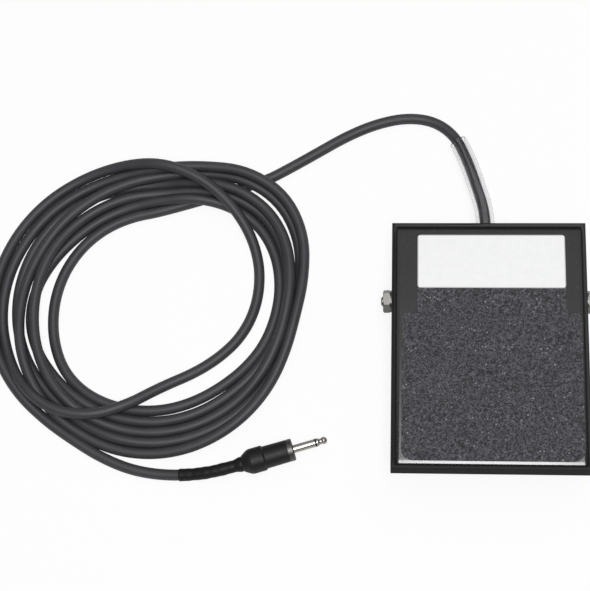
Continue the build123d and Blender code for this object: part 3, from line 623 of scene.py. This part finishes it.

# %% [markdown]
# ## The bare label
# The label is thin white film under a clear coat. It stays bare. What makes it a label and not a white
# patch is its edge: a fine grey line of painted shade runs round it, the shade that the film's thin edge
# throws, and the coat is faintly uneven. The line is the distance to the nearest side of the plate, worked
# out from its own box.

# %% Label film
label = Finish("label_film", IOR=1.48)
spot = label.place()
from_side, from_end = label.inset(spot, "label_plate")
# Painted shade along the edge: the colour greys within 0.6 mm of the plate's sides.
line = 1 - from_side.at_most(from_end).between(0.15 * MM, 0.6 * MM)
mottle = label.noise(spot, 2.5 * MM, detail=3)
film = label.mix(mottle, paint(232, 233, 233), paint(243, 243, 243))
label.set(
    Base_Color=label.mix(line * 0.7, film, paint(150, 150, 150)),
    Roughness=0.34 + mottle * 0.16,
    Normal=label.bump(mottle, 0.01 * MM, 0.3),
)
label.put_on(*nodes("label_plate"))

# %% [markdown]
# ## Zinc and nickel
# The stud, its nuts, the bracket and the spring are zinc plated: a grey metal whose grains shine unevenly,
# a little duller where it has been handled. The plug is turned brass under nickel, warmer and smoother, with
# the lathe's fine rings round its axis. Those rings are a noise squeezed along the axis: the Mapping node
# turns the pattern by the angle at which the plug lies. Its collar is oxidised and much duller.

# %% Plated metals
zinc = Finish("zinc_plate", Metallic=1.0)
spot = zinc.place()
grains = zinc.cells(spot, 0.7 * MM)
dull = zinc.noise(spot, 3 * MM, detail=3)
zinc.set(
    Base_Color=zinc.mix(dull, paint(98, 98, 97), paint(146, 145, 141)),
    Roughness=0.24 + grains * 0.12 + dull * 0.12,
    Normal=zinc.bump(grains, 0.004 * MM, 0.4),
)
zinc.put_on(*nodes(
    "pivot_stud", "pivot_nuts", "stud_washers", "switch_screws", "switch_nuts", "switch_bracket",
    "bracket_rivets", "spring_post"), spring)

PLUG_HEADING = math.radians(17)
nickel = Finish("nickel_plate", Metallic=1.0)
lathe = nickel.noise(nickel.place(scale=(1, 0.05, 0.05), turn=PLUG_HEADING), 0.12 * MM, detail=2)
worn = nickel.noise(nickel.place(), 2.2 * MM, detail=3)
nickel.set(
    Base_Color=nickel.mix(worn, paint(148, 145, 140), paint(192, 189, 183)),
    Roughness=0.24 + lathe * 0.05 + worn * 0.12,
    Normal=nickel.bump(lathe, 0.001 * MM, 0.05),
)
nickel.put_on(*nodes("plug_barrel", "plug_tip"))

collar = Finish("dull_collar", Metallic=1.0)
soot = collar.noise(collar.place(), 0.8 * MM, detail=3)
collar.set(
    Base_Color=collar.mix(soot, paint(62, 61, 60), paint(112, 110, 107)),
    Roughness=0.34 + soot * 0.16,
)
collar.put_on(*nodes("plug_collar"))

# %% [markdown]
# ## Black mouldings
# The plug's handle, the bushing and the switch's case are moulded. The mould was etched, so the plastic has
# a very fine matt grain and, in places, a smoother sheen where it flowed last.

# %% Moulded plastic
black = Finish("black_plastic", IOR=1.38)
spot = black.place()
etch = black.noise(spot, 0.18 * MM, detail=2)
flow = black.noise(spot, 2.4 * MM, detail=3)
black.set(
    Base_Color=black.mix(flow, paint(12, 12, 13), paint(22, 22, 23)),
    Roughness=0.44 + flow * 0.16,
    Normal=black.bump(etch, 0.012 * MM, 0.5),
)
black.put_on(*nodes("plug_handle", "plug_ring", "strain_relief"))

phenolic = Finish("switch_phenolic", IOR=1.55)
swirl = phenolic.noise(phenolic.place(scale=(1, 1, 0.4)), 1.6 * MM, detail=4, rough=0.7)
phenolic.set(
    Base_Color=phenolic.mix(swirl, paint(40, 33, 29), paint(66, 52, 44)),
    Roughness=0.38 + swirl * 0.2,
    Normal=phenolic.bump(swirl, 0.01 * MM, 0.4),
)
phenolic.put_on(*nodes("switch_case", "switch_cover"))

# %% [markdown]
# ## Rubber feet and nylon
# The feet are soft black rubber, dusted grey with the powder that keeps such parts from sticking together.
# The bushes, the plunger and the spring's cap are natural nylon: creamy, and light goes a little way in.

# %% Feet, bushes and plunger
rubber = Finish("foot_rubber", IOR=1.5)
powder = rubber.noise(rubber.place(), 1.8 * MM, detail=4, rough=0.7)
rubber.set(
    Base_Color=rubber.mix(powder, paint(26, 26, 26), paint(58, 57, 55)),
    Roughness=0.72 + powder * 0.2,
    Normal=rubber.bump(powder, 0.03 * MM, 0.5),
)
rubber.put_on(*nodes("foot_front_left", "foot_front_right", "foot_rear_left", "foot_rear_right"))

nylon = Finish("natural_nylon", IOR=1.53, Subsurface_Weight=0.2, Subsurface_Scale=0.4 * MM)
milk = nylon.noise(nylon.place(), 1.5 * MM, detail=3)
nylon.set(
    Base_Color=nylon.mix(milk, paint(214, 206, 186), paint(232, 227, 212)),
    Roughness=0.38 + milk * 0.2,
    Normal=nylon.bump(milk, 0.01 * MM, 0.3),
)
nylon.put_on(*nodes("pivot_bush_left", "pivot_bush_right", "spring_cap", "plunger"))

# %% [markdown]
# ## Inside the switch bay
# Few will look here, but the gap under the tread shows it: tarnishing brass terminals, a sheet of pressed
# fibre that keeps them off the pan, and the two red wires. The fibre sheet's pattern is a noise drawn out
# sideways, as its fibres are.

# %% Brass, fibre and wire
brass = Finish("terminal_brass", Metallic=1.0)
tarnish = brass.noise(brass.place(), 1.2 * MM, detail=4, rough=0.65)
brass.set(
    Base_Color=brass.mix(tarnish, paint(208, 178, 112), paint(150, 118, 66)),
    Roughness=0.22 + tarnish * 0.25,
)
brass.put_on(*nodes("closed_terminal", "open_terminal", "common_terminal"))

paper = Finish("fibre_paper", IOR=1.45)
fibres = paper.noise(paper.place(scale=(0.12, 1, 1)), 0.25 * MM, detail=4, rough=0.7)
paper.set(
    Base_Color=paper.mix(fibres, paint(94, 99, 97), paint(140, 143, 138)),
    Roughness=0.78 + fibres * 0.15,
    Normal=paper.bump(fibres, 0.03 * MM, 0.6),
)
paper.put_on(*nodes("insulating_sheet"))

wire_skin = Finish("wire_jacket", IOR=1.5)
tint = wire_skin.noise(wire_skin.place(), 2 * MM, detail=3)
wire_skin.set(
    Base_Color=wire_skin.mix(tint, paint(148, 30, 26), paint(182, 48, 40)),
    Roughness=0.34 + tint * 0.16,
)
wire_skin.put_on(*nodes("lead_common", "lead_open"))

# %% [markdown]
# ## Cord, shrink tube and clear tube
# The jacket is dark grey vinyl with a dull sheen, hazy where hands have run along it. The shrink tube is
# blacker and crinkled. The clear tube is soft vinyl: seen square on it is nearly nothing, and where it turns
# away from the eye its colour is painted grey. That is a painted shade for the light crossing more of it
# there. A Layer Weight node measures that turning.

# %% Cord jacket, shrink and clear vinyl
jacket = Finish("cord_jacket", IOR=1.5)
spot = jacket.place()
haze = jacket.noise(spot, 9 * MM, detail=3)
pores = jacket.noise(spot, 0.5 * MM, detail=3, rough=0.7)
jacket.set(
    Base_Color=jacket.mix(haze, paint(42, 41, 45), paint(60, 59, 64)),
    Roughness=0.44 + haze * 0.12 + pores * 0.06,
    Normal=jacket.bump(pores, 0.02 * MM, 0.4),
)
jacket.put_on(cord_line)

shrink = Finish("shrink_sleeve", IOR=1.36)
crinkle = shrink.noise(shrink.place(), 1.4 * MM, detail=4, rough=0.6)
shrink.set(
    Base_Color=shrink.mix(crinkle, paint(6, 6, 7), paint(16, 16, 17)),
    Roughness=0.44 + crinkle * 0.2,
    Normal=shrink.bump(crinkle, 0.08 * MM, 0.6),
)
shrink.put_on(shrunk_sleeve)

clear = Finish("clear_vinyl", IOR=1.5, Transmission_Weight=1.0)
ripple = clear.noise(clear.place(), 3 * MM, detail=3)
turned = clear.node("LayerWeight", sockets={"Blend": 0.5}, out="Facing")
SQUARE_ON, EDGE_ON = (0.95, 0.95, 0.96, 1.0), (0.06, 0.06, 0.065, 1.0)
clear.set(
    # Painted shade: the tube's colour darkens where its surface turns away from the eye.
    Base_Color=clear.mix(turned ** 2.6, SQUARE_ON, EDGE_ON),
    Roughness=0.04 + ripple * 0.08,
    Normal=clear.bump(ripple, 0.03 * MM, 0.2),
)
clear.put_on(clear_sleeve)
print(len(bpy.data.materials), "materials")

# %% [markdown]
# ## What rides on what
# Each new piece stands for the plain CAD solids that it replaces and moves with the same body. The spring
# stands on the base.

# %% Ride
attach(cord_line, "base")
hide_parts("cord_lead", "cord_coil", "cord_tail")
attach(clear_sleeve, "base")
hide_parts("bend_sleeve")
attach(shrunk_sleeve, "base")
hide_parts("plug_sleeve")
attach(spring, "base")
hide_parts("return_spring")
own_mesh(spring)

# %% [markdown]
# ## The floor
# The photograph's ground is plain white paper. Here it is one sheet that lies flat under the object and
# curves up into a low wall far outside the picture, so that a low side view still ends in white. It is a
# profile turned about the upright: radius and height are both functions of one number. For the camera, for
# mirrors and through clear plastic the sheet adds plain white; what is left of it still takes the shadow.

# %% Paper floor


def white_to_camera(finish, weight, mirrored):
    """Covers a finish with plain white light for camera and transmission rays, and with less for mirrors."""
    camera_ray, clear_ray, mirror_ray = (
        finish.node("LightPath", out=f"Is {kind} Ray") for kind in ("Camera", "Transmission", "Glossy"))
    seen = (camera_ray + clear_ray + mirror_ray * mirrored).at_most(1.0)
    finish.cover(seen * weight, finish.node("Emission", sockets={"Color": (1, 1, 1, 1)}))


MIDDLE_R, INNER_R, FLAT_R, RISE_R, WALL_H = 0.001, 1.2, 3.2, 1.6, 2.0
SEEN_WHITE, MIRRORED_WHITE = 0.88, 0.45
rise = np.linspace(0, math.pi / 2, 13)
profile_r = np.concatenate([[MIDDLE_R, INNER_R], FLAT_R + RISE_R * np.sin(rise), [FLAT_R + RISE_R]])
profile_z = np.concatenate([[0.0, 0.0], RISE_R * (1 - np.cos(rise)), [WALL_H]])
around = np.linspace(0, 2 * math.pi, 64, endpoint=False)
sheet = np.stack(np.broadcast_arrays(
    profile_r[:, None] * np.cos(around), profile_r[:, None] * np.sin(around), profile_z[:, None]), axis=-1)
floor = to_mesh("floor", sheet)

ground = Finish("paper_floor", Base_Color=(0.9, 0.9, 0.9, 1), Roughness=0.9, Specular_IOR_Level=0.0)
white_to_camera(ground, SEEN_WHITE, MIRRORED_WHITE)
ground.put_on(floor)

# %% [markdown]
# ## The light
# One long softbox, brighter at its near end, hangs above and toward the toe end: its far edge is mirrored in
# the front of the enamel, as in the photograph, and leaves the back of the tread dark. A wide dim panel
# behind it fills the shadows and greys the rear of the tread. Together they light white paper as white.

# %% Softbox, panel and sky


def panel(name, size, place, radiance):
    """A flat lamp that looks down; its watts are pi * area * radiance."""
    light = bpy.data.lights.new(name, "AREA")
    light.shape, (light.size, light.size_y) = "RECTANGLE", size
    light.energy = math.pi * size[0] * size[1] * radiance
    lamp = bpy.data.objects.new(name, light)
    lamp.location = place
    bpy.context.scene.collection.objects.link(lamp)
    print(name, round(light.energy, 1), "W")


panel("softbox_far", size=(0.35, 0.52), place=(0.08, 0.16, 1.6), radiance=7.6)
panel("softbox_near", size=(0.35, 0.64), place=(0.08, -0.42, 1.6), radiance=24.0)
panel("fill_panel", size=(2.4, 1.2), place=(0.08, 1.03, 1.65), radiance=0.85)

SKY_STRENGTH = 0.15
world = bpy.data.worlds.new("studio")
world.use_nodes = True
sky = world.node_tree.nodes["Background"].inputs
sky["Color"].default_value, sky["Strength"].default_value = (1, 1, 1, 1), SKY_STRENGTH
bpy.context.scene.world = world
bpy.context.scene.view_settings.view_transform = "Standard"
